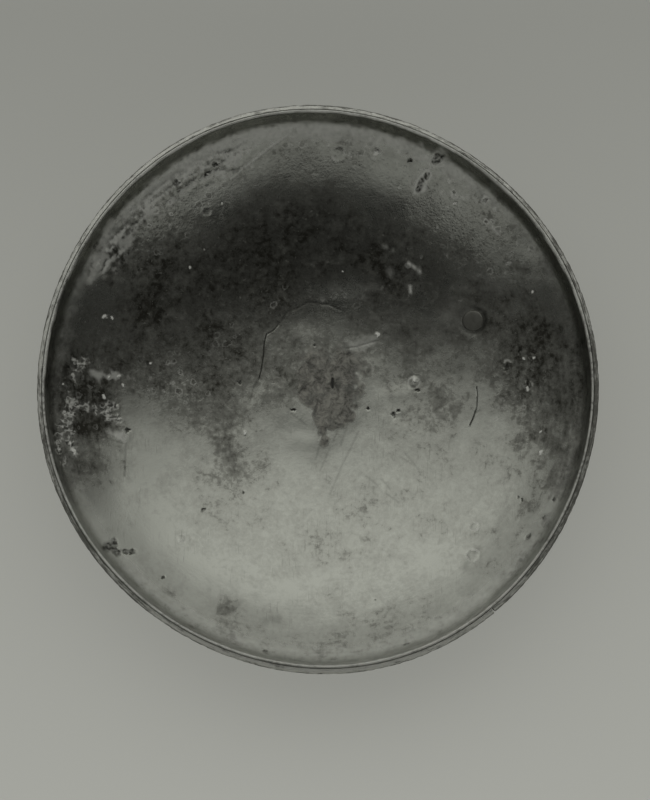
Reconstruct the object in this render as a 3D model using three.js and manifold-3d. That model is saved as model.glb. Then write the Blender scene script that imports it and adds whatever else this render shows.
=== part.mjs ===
// A shallow metal bowl, raised from one sheet of silver, with a half-round strip
// round the outside of its lip and a plug rivet that closes a hole in its wall.
// Millimetres, +Z up. The origin is the middle of the flat resting face.
// Seen from above, +X is right and +Y is up, and angles run counter-clockwise from +X.

import * as THREE from "three";
import { mergeVertices } from "three/addons/utils/BufferGeometryUtils.js";
import Module from "manifold-3d";

// Driving dimensions of the whole bowl

const rimDiameter = 172; // over the rim band, the mean of its widths
const bowlHeight = 32; // from the resting face to the top of the lip
const seatRadius = 14; // the flat resting face, and the flat floor above it
const sheetThickness = 1.1;
const turnRadius = 5; // inside radius where the dish turns up into the rim wall
const rimWallHeight = 6.5; // the straight wall above that turn
const rimWallLean = 8; // degrees, outwards from upright

// Driving dimensions of the rim band, a strip bent round the outside of the lip

const bandHeight = 5.5;
const bandThickness = 1.5; // at the crown of its half-round face
const bandEdge = 0.5; // thickness left at its upper and lower edges
const lipStand = 0.6; // how far the lip stands above the strip's upper inner edge
const seamGap = 0.3; // between the strip and the wall
const buttAngle = 308; // where the two ends of the strip meet
const buttGap = 0.5;

// Driving dimensions of the plug rivet

const rivetRadius = 53.5; // from the bowl's axis
const rivetAngle = 25.9;
const shankDiameter = 4;
const innerHeadDiameter = 6.8;
const innerHeadHeight = 0.7;
const outerHeadDiameter = 6.2;
const outerHeadHeight = 0.9;
const headEdge = 0.25; // height of a head at its edge
const rivetGap = 0.3; // between the rivet and the sheet

// How far the hammered bowl is from round and from level, at its rim

const ovalAngle = 107; // its longest width lies this way
const ovalGrowth = 1; // added to the radius that way, and lost across it
const cornerGrowth = 0.4; // added every quarter turn from that way, and lost between
const rimWave = 0.4; // rise and fall of the rim
const waveAngle = 40;

// Facets

const turns = 96; // round the bowl
const dishSteps = 10;
const turnSteps = 6;
const lipSteps = 4;
const crownSteps = 6;
const rivetTurns = 24;
const headSteps = 4;

const radians = THREE.MathUtils.degToRad;
const vector = (x, y) => new THREE.Vector2(x, y);

const wasm = await Module();
wasm.setup();

// A closed geometry as a solid that can be cut.
function solidOf(geometry) {
  const bare = geometry.clone();
  bare.deleteAttribute("normal");
  bare.deleteAttribute("uv");
  const merged = mergeVertices(bare, 1e-4);
  const mesh = new wasm.Mesh({
    numProp: 3,
    vertProperties: merged.attributes.position.array,
    triVerts: new Uint32Array(merged.index.array),
  });
  return new wasm.Manifold(mesh);
}

// The solid's faces as a geometry again.
function geometryOf(solid) {
  const { vertProperties, triVerts } = solid.getMesh();
  const geometry = new THREE.BufferGeometry();
  geometry.setAttribute("position", new THREE.BufferAttribute(vertProperties, 3));
  geometry.setIndex(new THREE.BufferAttribute(triVerts, 1));
  return geometry;
}

// A profile in (radius, height), turned round the Z axis. It runs anticlockwise.
function turned(profile, segments) {
  return new THREE.LatheGeometry(profile, segments).rotateX(radians(90));
}

// Points on an arc, angles in radians from the +radius direction.
function arcPoints(centre, radius, from, to, steps) {
  const points = [];
  for (let i = 0; i <= steps; i++) {
    const angle = from + ((to - from) * i) / steps;
    points.push(vector(Math.cos(angle), Math.sin(angle)).multiplyScalar(radius).add(centre));
  }
  return points;
}

// The rim wall is a straight line in section. Along it runs wallUp and across it,
// outwards, wallOut. wallMiddle is on its inner face, level with the band's middle.

const lean = radians(rimWallLean);
const wallUp = vector(Math.sin(lean), Math.cos(lean));
const wallOut = vector(Math.cos(lean), -Math.sin(lean));

const crownRise = bandThickness - bandEdge;
const crownRadius = ((bandHeight / 2) ** 2 + crownRise ** 2) / (2 * crownRise);
const crownCentreOut = sheetThickness + seamGap + bandThickness - crownRadius;

const wallMiddle = vector(
  rimDiameter / 2 - crownRadius - crownCentreOut * wallOut.x,
  bowlHeight - lipStand - (bandHeight / 2) * wallUp.y,
);

// A point of the rim wall's section: out from the inner face, and up from its middle.
function onWall(out, up) {
  return wallMiddle.clone().addScaledVector(wallOut, out).addScaledVector(wallUp, up);
}

// The dish arc leaves the flat floor level and meets the turn arc smoothly at
// dishAngle. The turn arc ends where the straight rim wall begins.

const wallAngle = Math.PI / 2 - lean;
const wallFootHeight = bowlHeight - rimWallHeight;
const wallFoot = onWall(0, (wallFootHeight - wallMiddle.y) / wallUp.y);
const turnCentre = wallFoot.clone().addScaledVector(wallOut, -turnRadius);
const spread = vector(turnCentre.x - seatRadius, sheetThickness + turnRadius - turnCentre.y);
const dishAngle = 2 * Math.atan(-spread.y / spread.x);
const dishRadius = turnRadius + spread.x / Math.sin(dishAngle);
const dishCentre = vector(seatRadius, sheetThickness + dishRadius);

// The turn of an arc whose angle is counted from straight down.
const down = -Math.PI / 2;

function bowlProfile() {
  const lipRadius = sheetThickness / 2;
  const lipCentreHeight = bowlHeight - lipRadius;
  const lipMiddle = onWall(lipRadius, 0);
  const lipCentre = onWall(lipRadius, (lipCentreHeight - lipMiddle.y) / wallUp.y);
  return [
    vector(0, 0),
    ...arcPoints(dishCentre, dishRadius + sheetThickness, down, down + dishAngle, dishSteps),
    ...arcPoints(
      turnCentre,
      turnRadius + sheetThickness,
      down + dishAngle,
      down + wallAngle,
      turnSteps,
    ).slice(1),
    ...arcPoints(lipCentre, lipRadius, -lean, Math.PI - lean, lipSteps),
    ...arcPoints(turnCentre, turnRadius, down + wallAngle, down + dishAngle, turnSteps),
    ...arcPoints(dishCentre, dishRadius, down + dishAngle, down, dishSteps).slice(1),
    vector(0, sheetThickness),
  ];
}

// The half-round strip in section, crown outwards and flat face to the wall.
function bandProfile() {
  const inner = sheetThickness + seamGap;
  const half = bandHeight / 2;
  const crown = [];
  const halfSpan = Math.asin(half / crownRadius);
  for (let i = 0; i <= crownSteps; i++) {
    const angle = halfSpan * ((2 * i) / crownSteps - 1);
    const out = crownCentreOut + crownRadius * Math.cos(angle);
    crown.push(onWall(out, crownRadius * Math.sin(angle)));
  }
  return [onWall(inner, half), onWall(inner, -half), ...crown, onWall(inner, half)];
}

// The rivet in section about its own axis. Height 0 is the sheet's inner face.
function rivetProfile() {
  const innerFace = rivetGap;
  const outerFace = -sheetThickness - rivetGap;
  const points = [vector(0, outerFace - outerHeadHeight)];
  const dome = (headDiameter, share) => (headDiameter / 2) * Math.sin((Math.PI / 2) * share);
  const fall = (headHeight, share) => (headHeight - headEdge) * Math.cos((Math.PI / 2) * share);
  for (let i = 1; i <= headSteps; i++) {
    const share = i / headSteps;
    const height = outerFace - headEdge - fall(outerHeadHeight, share);
    points.push(vector(dome(outerHeadDiameter, share), height));
  }
  points.push(vector(outerHeadDiameter / 2, outerFace));
  points.push(vector(shankDiameter / 2, outerFace));
  points.push(vector(shankDiameter / 2, innerFace));
  points.push(vector(innerHeadDiameter / 2, innerFace));
  for (let i = headSteps; i >= 1; i--) {
    const share = i / headSteps;
    const height = innerFace + headEdge + fall(innerHeadHeight, share);
    points.push(vector(dome(innerHeadDiameter, share), height));
  }
  points.push(vector(0, innerFace + innerHeadHeight));
  return points;
}

// Where the rivet goes through the dish, and how far its axis leans inwards there.
const rivetSlope = Math.asin((rivetRadius - seatRadius) / dishRadius);
const rivetHeight = dishCentre.y - dishRadius * Math.cos(rivetSlope);

// Puts a geometry that stands on the sheet's inner face, upright, at the rivet's place.
function placedAtRivet(geometry) {
  return geometry
    .rotateY(-rivetSlope)
    .translate(rivetRadius, 0, rivetHeight)
    .rotateZ(radians(rivetAngle));
}

// Moves each point as hammering left the real bowl, most at the rim and hardly at
// all on the flat floor, so that all pieces go out of round together.
function hammered(geometry) {
  const position = geometry.attributes.position;
  const rimRadius = rimDiameter / 2;
  for (let i = 0; i < position.count; i++) {
    const x = position.getX(i);
    const y = position.getY(i);
    const share = Math.hypot(x, y) / rimRadius;
    const turn = Math.atan2(y, x) - radians(ovalAngle);
    const growth = ovalGrowth * Math.cos(2 * turn) + cornerGrowth * Math.cos(4 * turn);
    const scale = 1 + (growth * share ** 2) / rimRadius;
    const rise = rimWave * Math.cos(2 * (Math.atan2(y, x) - radians(waveAngle)));
    position.setXY(i, x * scale, y * scale);
    position.setZ(i, position.getZ(i) + rise * share ** 8);
  }
  geometry.computeVertexNormals();
  return geometry;
}

function bowlBody() {
  const holeDiameter = shankDiameter + 2 * rivetGap;
  const drill = new THREE.CylinderGeometry(
    holeDiameter / 2,
    holeDiameter / 2,
    6 * sheetThickness,
    rivetTurns,
  ).rotateX(radians(90));
  const bowl = solidOf(turned(bowlProfile(), turns));
  return geometryOf(bowl.subtract(solidOf(placedAtRivet(drill))));
}

function rimBand() {
  const ring = solidOf(turned(bandProfile(), turns));
  const depth = 4 * (seamGap + bandThickness);
  const slot = new THREE.BoxGeometry(depth, buttGap, 2 * bandHeight);
  slot.translate(onWall(sheetThickness + seamGap, 0).x, 0, wallMiddle.y);
  slot.rotateZ(radians(buttAngle));
  return geometryOf(ring.subtract(solidOf(slot)));
}

function plugRivet() {
  return geometryOf(solidOf(placedAtRivet(turned(rivetProfile(), rivetTurns))));
}

function piece(name, geometry, color, roughness) {
  const material = new THREE.MeshStandardMaterial({ color, roughness, metalness: 1 });
  const mesh = new THREE.Mesh(hammered(geometry), material);
  mesh.name = name;
  return mesh;
}

const bowl = new THREE.Group();
bowl.add(piece("bowl_body", bowlBody(), 0x8a8b85, 0.38));
bowl.add(piece("rim_band", rimBand(), 0x76766f, 0.6));
bowl.add(piece("plug_rivet", plugRivet(), 0x80807a, 0.45));

export default bowl;
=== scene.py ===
import math

import bmesh
import bpy
import numpy as np
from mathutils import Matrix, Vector
from mathutils.geometry import delaunay_2d_cdt


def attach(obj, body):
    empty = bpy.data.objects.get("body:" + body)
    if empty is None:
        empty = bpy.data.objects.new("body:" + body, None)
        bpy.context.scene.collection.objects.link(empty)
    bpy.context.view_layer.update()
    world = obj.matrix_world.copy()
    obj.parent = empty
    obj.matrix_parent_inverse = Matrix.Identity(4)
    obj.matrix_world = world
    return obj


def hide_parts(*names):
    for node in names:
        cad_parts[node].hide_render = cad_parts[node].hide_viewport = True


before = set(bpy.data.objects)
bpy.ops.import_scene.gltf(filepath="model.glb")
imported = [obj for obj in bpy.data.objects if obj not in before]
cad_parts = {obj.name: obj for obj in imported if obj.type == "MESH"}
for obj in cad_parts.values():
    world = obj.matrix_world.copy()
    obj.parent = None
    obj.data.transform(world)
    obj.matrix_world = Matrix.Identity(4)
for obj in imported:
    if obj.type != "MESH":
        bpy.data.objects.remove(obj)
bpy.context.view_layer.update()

# The bowl: one sheet of silver, hammered up from a flat blank into a shallow dish whose
# rim turns upright. The inside was smoothed over a stake and is now tarnished, cracked
# and crusted. The outside keeps the flats of the last hammering.

mm = 0.001
rim_width = 172.0  # over the strip round the lip; sizes here are in millimetres
bowl_height = 32.0
seat_radius = 14.0
sheet = 1.1
turn_radius = 5.0
rim_wall_height = 6.5
lean = math.radians(8)
strip_height = 5.5
strip_thickness = 1.5
strip_edge = 0.5
lip_stand = 0.6
seam_gap = 0.3

wall_up = np.array([math.sin(lean), math.cos(lean)])
wall_out = np.array([math.cos(lean), -math.sin(lean)])
crown_rise = strip_thickness - strip_edge
crown_radius = ((strip_height / 2) ** 2 + crown_rise ** 2) / (2 * crown_rise)
crown_centre_out = sheet + seam_gap + strip_thickness - crown_radius
wall_middle = np.array([
    rim_width / 2 - crown_radius - crown_centre_out * wall_out[0],
    bowl_height - lip_stand - strip_height / 2 * wall_up[1],
])


def on_wall(out, up):
    """Points of the upright wall's section, out from its inner face and up from its middle."""
    return wall_middle + np.multiply.outer(out, wall_out) + np.multiply.outer(up, wall_up)


wall_angle = math.pi / 2 - lean
foot_up = (bowl_height - rim_wall_height - wall_middle[1]) / wall_up[1]
turn_centre = on_wall(-turn_radius, foot_up)
spread_out = turn_centre[0] - seat_radius
spread_up = turn_centre[1] - sheet - turn_radius
dish_angle = 2 * math.atan(spread_up / spread_out)
dish_radius = turn_radius + spread_out / math.sin(dish_angle)
dish_centre = np.array([seat_radius, sheet + dish_radius])
lip_up = (bowl_height - sheet / 2 - on_wall(sheet / 2, 0.0)[1]) / wall_up[1]


def path_lengths(points):
    """The length of a path up to each of its points."""
    return np.concatenate([[0], np.cumsum(np.hypot(*np.diff(points, axis=0).T))])


def face_section(side):
    """The inner face (side -1) or the outer face (+1), from the axis to the crown of the lip,
    as close points with their normals and the length of the path up to each."""
    deep = sheet * (side + 1) / 2

    def arc(centre, radius, start, end, steps):
        slope = np.linspace(start, end, steps)
        away = np.stack([np.sin(slope), -np.cos(slope)], 1)
        return centre + (radius + deep) * away, side * away

    flat = np.linspace(0, seat_radius, 30)[:-1]
    floor = np.full(len(flat), sheet - deep)
    wall = on_wall(deep, np.linspace(foot_up, lip_up, 40)[1:])
    bend = np.linspace(math.pi / 2, 0, 12)[1:, None]
    over = side * np.sin(bend) * wall_out + np.cos(bend) * wall_up
    parts = [
        (np.stack([flat, floor], 1), np.tile([0.0, -side], (len(flat), 1))),
        arc(dish_centre, dish_radius, 0, dish_angle, 160),
        arc(turn_centre, turn_radius, dish_angle, wall_angle, 60),
        (wall, np.tile(side * wall_out, (len(wall), 1))),
        (on_wall(sheet / 2, lip_up) + sheet / 2 * over, over),
    ]
    points, normals = (np.concatenate(rows) for rows in zip(*parts))
    return points, normals, path_lengths(points)


# How far hammering left the bowl from round and from level: its longest width lies at
# oval_angle, with lesser bulges every quarter turn from it, and the rim rises and falls.
oval_angle = math.radians(107)
oval_growth = 1.0
corner_growth = 0.4
rim_wave = 0.4
wave_angle = math.radians(40)


def growth(angle, radius):
    """The factor by which a place in plan moves out from the bowl's axis."""
    turn = angle - oval_angle
    swell = oval_growth * np.cos(2 * turn) + corner_growth * np.cos(4 * turn)
    return 1 + swell * (2 * radius / rim_width) ** 2 * 2 / rim_width


def wave(angle):
    """How far the rim rises or falls on its way round, in millimetres."""
    return rim_wave * np.cos(2 * (angle - wave_angle))


def hammered(radius, height, angle):
    """Points of the bowl out of true, in millimetres, from places in the true section."""
    out = radius * growth(angle, radius)
    rise = wave(angle) * (2 * radius / rim_width) ** 8
    return np.stack([out * np.cos(angle), out * np.sin(angle), height + rise], 1)


def true_radius(x, y):
    """The radius in the true section of a place that is given in plan."""
    out, angle = np.hypot(x, y), np.arctan2(y, x)
    radius = out
    for _ in range(6):
        radius = out / growth(angle, radius)
    return radius


def noise(x, y, size, seed):
    """Smooth noise between about -1 and 1, with its swells about `size` millimetres apart."""
    turn = np.random.default_rng(seed).uniform(0, 2 * np.pi, (64, 64))
    u, v = x / size, y / size
    i, j = np.floor(u).astype(int), np.floor(v).astype(int)
    total = 0
    for a in (i, i + 1):
        for b in (j, j + 1):
            du, dv = u - a, v - b
            near = (1 - abs(du)) * (1 - abs(dv))
            way = turn[a % 64, b % 64]
            total += near * near * (3 - 2 * near) * (np.cos(way) * du + np.sin(way) * dv)
    return 2 * total


def fractal(x, y, size, seed, octaves=4):
    """Noise with finer and weaker noise on it, each half as large as the one before."""
    return sum(noise(x, y, size / 2 ** k, seed + k) / 2 ** k for k in range(octaves))


def smooth(edge_low, edge_high, value):
    """0 at the first edge, 1 at the second and a smooth rise between them."""
    share = np.clip((value - edge_low) / (edge_high - edge_low), 0, 1)
    return share * share * (3 - 2 * share)


def path_distance(x, y, path):
    """How far each place in plan is from a line through the path's points."""
    best = np.full(np.shape(x), 1e9)
    points = np.array(path, float)
    for a, b in zip(points[:-1], points[1:]):
        along = b - a
        share = np.clip(((x - a[0]) * along[0] + (y - a[1]) * along[1]) / (along @ along), 0, 1)
        best = np.minimum(best, np.hypot(x - a[0] - share * along[0], y - a[1] - share * along[1]))
    return best


def inside(x, y, outline):
    """True for places in plan inside a closed outline."""
    odd = np.zeros(np.shape(x), bool)
    for (xa, ya), (xb, yb) in zip(outline, outline[1:] + outline[:1]):
        crosses = (ya > y) != (yb > y)
        with np.errstate(divide="ignore", invalid="ignore"):
            odd ^= crosses & (x < xa + (y - ya) * (xb - xa) / (yb - ya))
    return odd


# Lines in plan where the brittle floor has cracked or creased, and where it was scratched.
cracks = [
    [(-12.5, 22.6), (-14, 20.9), (-16, 19.8), (-16.7, 17), (-17, 13), (-17.7, 8.3), (-18.3, 6)],
    [(49, 2.5), (49.3, 0), (49, -4), (48, -7), (46.8, -9.5)],
]
creases = [
    [(-9.5, 27), (-11, 24.5), (-12.5, 22.6)],
    [(-18.3, 6), (-20, 3), (-21, -1)],
    [(-9, 27), (-6.5, 28), (-3, 29.9), (0.5, 29.4), (3.6, 29), (7, 27.3)],
    [(-66, -13.7), (-64, -14.3), (-60, -15.4)],
    [(-59, -16), (-59.3, -25.5)],
    [(48.8, -5.3), (50, -4.6)],
]
fold = [(9, 15.6), (12, 15.9), (14.5, 16.7), (18.5, 17.8)]
scratches = [
    [(6, -10.5), (4.7, -13.7)], [(9, -9), (7, -15)],
    [(12.6, -10.5), (10, -16), (7.5, -21), (3.7, -30)],
    [(3.6, -16), (0.5, -23)], [(0.5, -15), (-0.8, -19.5)],
    [(-8.3, -5), (-3.6, -8.6)], [(25.5, -18.5), (30, -21.5)],
    [(27, -17.5), (31, -22.5)], [(19.7, -25.5), (22.3, -28.7)],
    [(15, -24.5), (18.5, -27.5)], [(21, -30), (25, -33)],
    [(-42.7, 54.4), (-24, 68.7), (-8, 80.3)],
]
crack_depth = 0.2
crack_width = 0.17

# The crust of dark corrosion over the middle, its drip, and the slot in it.
crust = [(-5.1, 12.6), (-6.2, 8.1), (-6.3, 3.1), (-6, -0.7), (-3.8, -2.2), (-1.6, -3.2),
         (-1.3, -8.5), (1.2, -10), (6.2, -9.4), (10.9, -7.3), (12.1, -3.2), (12.4, 5.6),
         (14, 8.1), (13.7, 11.3), (10.6, 13.5), (6.8, 14.4), (-3.2, 13.8)]
crust_drip = [(1.6, -9.4), (1.8, -13.5)]
crust_slot = [(4.5, 6), (4.5, 3.3)]

# Marks as (x, y, length, width, turn in degrees): dark pits, pale crumbs of corrosion,
# and soft pale patches where a chalky film lies on the metal.
dark_marks = [
    (36.6, 71.5, 2.2, 1.3, 10), (33.4, 67, 1.3, 0.9, 60), (31.8, 64.8, 2.3, 1.2, 62),
    (28.3, 71.9, 0.7, 0.6, 0), (51.4, 59, 0.9, 0.5, 30), (-43.9, 64.8, 1.1, 0.9, 40),
    (-31.9, 70.8, 0.8, 0.5, 50), (-34.6, 67.8, 0.8, 0.5, 50), (-63, -47.9, 2.2, 1.6, 30),
    (-61.2, -49.4, 1.6, 1.3, 0), (-62.2, -46.6, 1.2, 1.0, 60), (-58.4, -49.3, 1.2, 0.7, 0),
    (-56.4, -49.4, 1.1, 0.9, 30), (15.4, -3.6, 0.3, 0.3, 0), (-7.6, -3.9, 0.7, 0.4, 0),
    (-24.4, 4.7, 0.6, 0.5, 0), (-23, -29.9, 0.35, 0.35, 0),
    (-1.2, 16.2, 0.3, 0.3, 0), (-35.4, -35.4, 0.9, 0.4, 20), (-47.1, -57, 0.7, 0.4, 60),
    (17.5, -63.5, 0.3, 0.3, 0), (-58.6, -11.2, 0.6, 0.5, 0), (71.9, -33.4, 0.7, 0.3, 75),
    (62.4, -33.4, 0.6, 0.3, 80), (61.2, -32.6, 0.5, 0.3, 60), (64, -44.8, 1.2, 0.5, 50),
    (68.7, -39, 0.6, 0.3, 60), (27.3, -77.5, 1.4, 0.3, 15),
    (-16.2, -79.6, 0.8, 0.3, 0), (31, 2.1, 0.6, 0.5, 0), (25, -4.3, 0.6, 0.4, 0),
    (23.4, -5.6, 0.5, 0.7, 0), (58.3, 8.6, 1.3, 0.4, 80), (64.7, 3.4, 1.0, 0.4, 80),
    (62, 13, 0.9, 0.4, 60), (66.8, 12.5, 0.7, 0.4, 20),
]
pale_marks = [
    (-65.6, 23.6, 0.9, 0.5, 20), (-63.6, 23.3, 0.4, 0.4, 0), (-60.1, 2.6, 0.7, 0.4, 120),
    (-65.8, -1, 0.4, 0.8, 10), (-64.5, 5, 0.5, 0.3, 40), (-61.5, 5.6, 0.6, 0.3, 10),
    (-22.7, -10.8, 0.4, 0.6, 0), (18.7, 19.8, 0.6, 0.5, 0), (-35.3, 45.4, 0.3, 0.3, 0),
    (-39.6, 39.6, 0.3, 0.4, 0), (-29.7, 59.2, 0.3, 0.3, 0), (63.4, 10.8, 0.35, 0.3, 0),
    (66.6, 10.9, 0.4, 0.3, 0), (68.2, -12.1, 0.3, 0.4, 0), (68.3, -18.3, 0.4, 0.6, 0),
    (64.5, 1.5, 0.4, 0.7, 10), (7.6, 39.2, 0.3, 0.3, 0), (-78, 2, 0.3, 0.3, 0),
    (-52, 10, 0.3, 0.3, 0), (17.9, 73.9, 0.8, 0.6, 0), (42.2, 58.8, 0.5, 0.4, 0),
    (66, 31, 0.4, 0.3, 60), (29.8, 5.3, 0.5, 0.7, 0), (-74.6, -18.4, 0.5, 1.2, 20),
    (-75.6, -16.3, 0.3, 0.5, 0),
]
pale_patches = [
    (-68.3, 5.6, 2.0, 1.5, 10), (-63, 5.6, 2.6, 1.2, 0), (-59.7, 46.2, 2.6, 1.8, 20),
    (-67.5, 40, 6.5, 1.6, 64), (-61.8, -12.8, 2.6, 1.2, 160), (36.6, 71.5, 2.8, 1.8, 10),
    (32.2, 65.6, 3.6, 1.8, 62), (-64.5, 49.5, 2.8, 1.3, 70),
]

# Thinner films of the same kind, each with its own strength as a sixth number.
faint_films = [
    (13.8, 17.2, 5.6, 1.6, 12, 0.22), (9, 33, 8, 3.5, 10, 0.1), (-27, 63, 10, 4, 28, 0.1),
    (44, 27, 7, 5, 40, 0.06), (52, 34, 6, 4, 120, 0.05), (22, 39, 1.6, 1, 120, 0.25),
    (20.8, 46.8, 0.7, 0.4, 0, 0.35), (22.8, 45.4, 0.5, 0.4, 0, 0.3),
    (24.6, 44.6, 0.4, 0.4, 0, 0.3),
]

# Thin pale trails of corrosion, and broad faint strokes that look rubbed in.
pale_trails = [
    [(31.6, 76), (32.5, 74.1), (33.8, 71.5), (34.7, 69.3), (33.4, 67.8), (30.2, 64.6),
     (29.7, 61.8), (30, 58.6)],
    [(34.7, 69.3), (37.5, 69.6), (40, 69)],
    [(-27, 66.5), (-20, 72), (-14, 76.5), (-8.5, 80)],
    [(38, 62), (42, 60), (46, 60.5), (49, 58.5)],
    [(52, 52), (55, 50), (58, 47)],
    [(27.6, 42), (29.4, 40.2), (31.6, 39.6), (31.2, 38)],
    [(27.5, 35.6), (28.8, 34.8), (28.6, 32.4)],
]
soft_strokes = [
    (71.5, -27.5, 3.4, 1.1, 80), (66, -36, 2.2, 0.8, 65), (68.7, -39, 1.6, 0.9, 60),
    (63.5, -46, 2.2, 0.8, 50), (-58.5, -16, 2.6, 1.0, 70), (-66, 33, 3.0, 1.2, 60),
    (45.6, -52.3, 1.7, 0.6, 60), (48.5, -48.5, 1.5, 0.5, 40), (66, -30, 2.6, 0.7, 80),
    (-27, -66, 3.2, 1.6, 20), (-14, -70, 3.5, 1.2, 5), (44, 8, 2.4, 1.0, 80),
    (-48, 28, 3.0, 1.6, 40), (52, 30, 3.2, 1.4, 120), (68, 6, 3.0, 0.9, 85),
]

# Rough, granular places as (x, y, length, width, turn in degrees, strength).
gritty_places = [
    (-46, 58, 26, 10, 38, 0.95), (45, 55, 26, 10, -42, 0.95), (0, 73, 24, 6, 0, 0.7),
    (-27, 20, 12, 5, 50, 0.5), (-15, 30, 10, 4, 20, 0.7), (6, 31, 12, 4, -10, 0.5),
    (27, 38, 9, 8, 0, 0.7), (-70, -3, 9, 14, 0, 0.6), (63, 2, 9, 14, 0, 0.6),
    (-45, 5, 14, 9, 0, 0.7), (-25, -22, 10, 9, 0, 0.25),
]
blisters = [(29.8, 5, 1.9), (6.2, 73.9, 2.2), (-34.5, 56.5, 1.4), (58.4, 9.6, 1.3),
            (64.7, 2.8, 1.4), (47.4, -50, 2.0), (17.9, 73.9, 1.8), (-42, -44.6, 1.3),
            (48, -41, 1.4), (-72, 10, 1.0)]

# How thick a pale film lies on the turn and the wall: degrees from +X, and the film.
# It is partly real film and partly painted light, which makes the turn and wall paler,
# most on the far side, and a little on the near side, where it lightens their shade.
film_and_light_places = [
    (0, 0.0), (20, 0.05), (40, 0.1), (60, 0.45), (80, 0.7), (105, 0.9), (125, 0.5), (145, 0.3),
    (165, 0.16), (185, 0.12), (205, 0.12), (225, 0.18), (250, 0.2), (280, 0.22), (300, 0.25),
    (320, 0.2), (340, 0.1), (360, 0.0),
]

# How far down the wall, in millimetres, the lip is painted pale, partly as wear and partly
# as a painted highlight along its edge: degrees from +X, and reach.
lip_places = [(0, 0.6), (15, 1.2), (30, 2.2), (60, 1.6), (80, 1.2), (100, 0.6), (120, 0.8),
              (145, 1.8), (165, 1.8), (180, 0.8), (200, 0.6), (360, 0.6)]

# Where beads of corrosion sit in chains, and the rough pale strip below the rim.
bead_chains = [
    [(-71.7, 9.9), (-73.3, 7.8), (-75.1, 4)],
    [(-76.9, -1.3), (-75, -3.5), (-71.4, -4.4), (-66.8, -4.8), (-63, -4.2)],
    [(-71.4, -4.4), (-67.5, -5.5), (-64, -7.4), (-61.3, -8.1)],
    [(-74, -4.4), (-77.6, -9.4), (-79.2, -11.8), (-79.5, -17.5), (-77.8, -22.2)],
    [(-76, -3.5), (-76.3, -12), (-75.6, -16.3), (-74.5, -18.5)],
]
bead_spacing = 1.2
bead_scatter = 0.9
dark_bead_share = 0.4
rough_strip = [(-67, 42.4), (-64, 48.4), (-57, 55.4), (-50, 62.4), (-42, 67), (-34, 71.4),
               (-26, 77)]
rough_reach = 8.5

# Parts of the floor that lean a little, as (x, y, length, width, turn in degrees, lean in
# degrees towards +X, and towards +Y).
leaning_parts = [
    (-13.5, 5, 9, 3.5, 50, 0.5, 2.2), (28, 3, 8, 3, 0, 0, 2.0), (20, 1.5, 8, 4, 40, 0, 1.6),
    (13.8, 18.6, 6, 2, 14, 0, 1.0), (-6, 21, 9, 4, 10, 0, 1.6), (-40, 4, 8, 5, 30, 0, 1.5),
    (40, 14, 9, 5, 60, 0, 1.3), (25.5, -5, 4, 2.5, 0, 0, -2.2), (-4, -12, 11, 4, 0, 0, 2.6),
    (12, -4, 7, 4, 0, 0, 1.4), (-24, -16, 9, 6, 40, 0, -1.8), (-33, -5, 9, 5, 150, 0, -1.4),
]

# Round the larger pits of the far side the metal stands up in a low pale rim.
halos = [(mx, my, 1.15 * length + 0.4, 1.15 * width + 0.4, turn)
         for mx, my, length, width, turn in dark_marks
         if length >= 0.9 and mx > 0 and my > 40]


def bead_places():
    """Beads of corrosion scattered along the chains, as (x, y, radius, dark)."""
    rng = np.random.default_rng(17)
    places = []
    for chain in bead_chains:
        for (xa, ya), (xb, yb) in zip(chain[:-1], chain[1:]):
            count = int(math.hypot(xb - xa, yb - ya) / bead_spacing) + 1
            for share in rng.uniform(0, 1, count):
                dx, dy = rng.normal(0, bead_scatter, 2)
                size = 0.14 + 0.42 * rng.uniform() ** 2
                dark = rng.uniform() < dark_bead_share
                spot = xa + share * (xb - xa) + dx, ya + share * (yb - ya) + dy
                places.append((*spot, size, dark))
    return places


beads = bead_places()


def rim_streaks(x, y, cells, width, seed, up=0):
    """Noise in streaks of this width that run round the bowl, as many as there are cells."""
    around = np.arctan2(y, x) / (2 * np.pi) * cells * width
    return fractal(around, np.hypot(x, y) + up, width, seed)


def own_axes(x, y, cx, cy, turn):
    """Places in plan, along and across an oval place that is turned by so many degrees."""
    c, s = math.cos(math.radians(turn)), math.sin(math.radians(turn))
    return (x - cx) * c + (y - cy) * s, (y - cy) * c - (x - cx) * s


def marks(x, y, places, ragged=0.5, soft=0.3):
    """1 on ragged oval marks and 0 off them, with the bays of large ones larger."""
    small, large = ragged * fractal(x, y, 0.9, 51), ragged * fractal(x, y, 2.2, 57)
    cover = np.zeros(np.shape(x))
    for cx, cy, length, width, turn in places:
        u, v = own_axes(x, y, cx, cy, turn)
        near = np.hypot(u / length, v / width)
        near += small / max(0.6, width) if length < 1.1 else 0.9 * large
        cover = np.maximum(cover, smooth(1 + soft, 1 - soft, near))
    return cover


def crust_cover(x, y):
    """1 on the crust in the middle, 0 off it. It thins out upwards and ends sharply below."""
    blur = 0.35 + 1.9 * smooth(-5, 9, y + 0.6 * (x - 4))
    edge = path_distance(x, y, crust)
    signed = np.where(inside(x, y, crust), edge, -edge)
    drip = 1.1 - path_distance(x, y, crust_drip)
    whole = np.maximum(signed, drip) + fractal(x, y, 3.0, 21) * (0.3 + 1.4 * blur)
    return smooth(-blur, blur, whole)


def strip_cover(x, y):
    """1 on the rough pale strip, 0 off it and on the upright wall."""
    ragged = 2.2 * fractal(x, y, 5.0, 61)
    cover = smooth(rough_reach, rough_reach - 6.5, path_distance(x, y, rough_strip) + ragged)
    return cover * smooth(80.6, 78.4, true_radius(x, y))


def strip_lumps(x, y):
    """The lumps and streaks of the rough strip, from about -1 to 1."""
    return 0.9 * rim_streaks(x, y, 64, 1.4, 71) + 0.7 * fractal(x, y, 1.3, 75)


def chain_nearness(x, y):
    """How far each place is from the nearest chain of beads."""
    return np.minimum.reduce([path_distance(x, y, chain) for chain in bead_chains])


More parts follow.
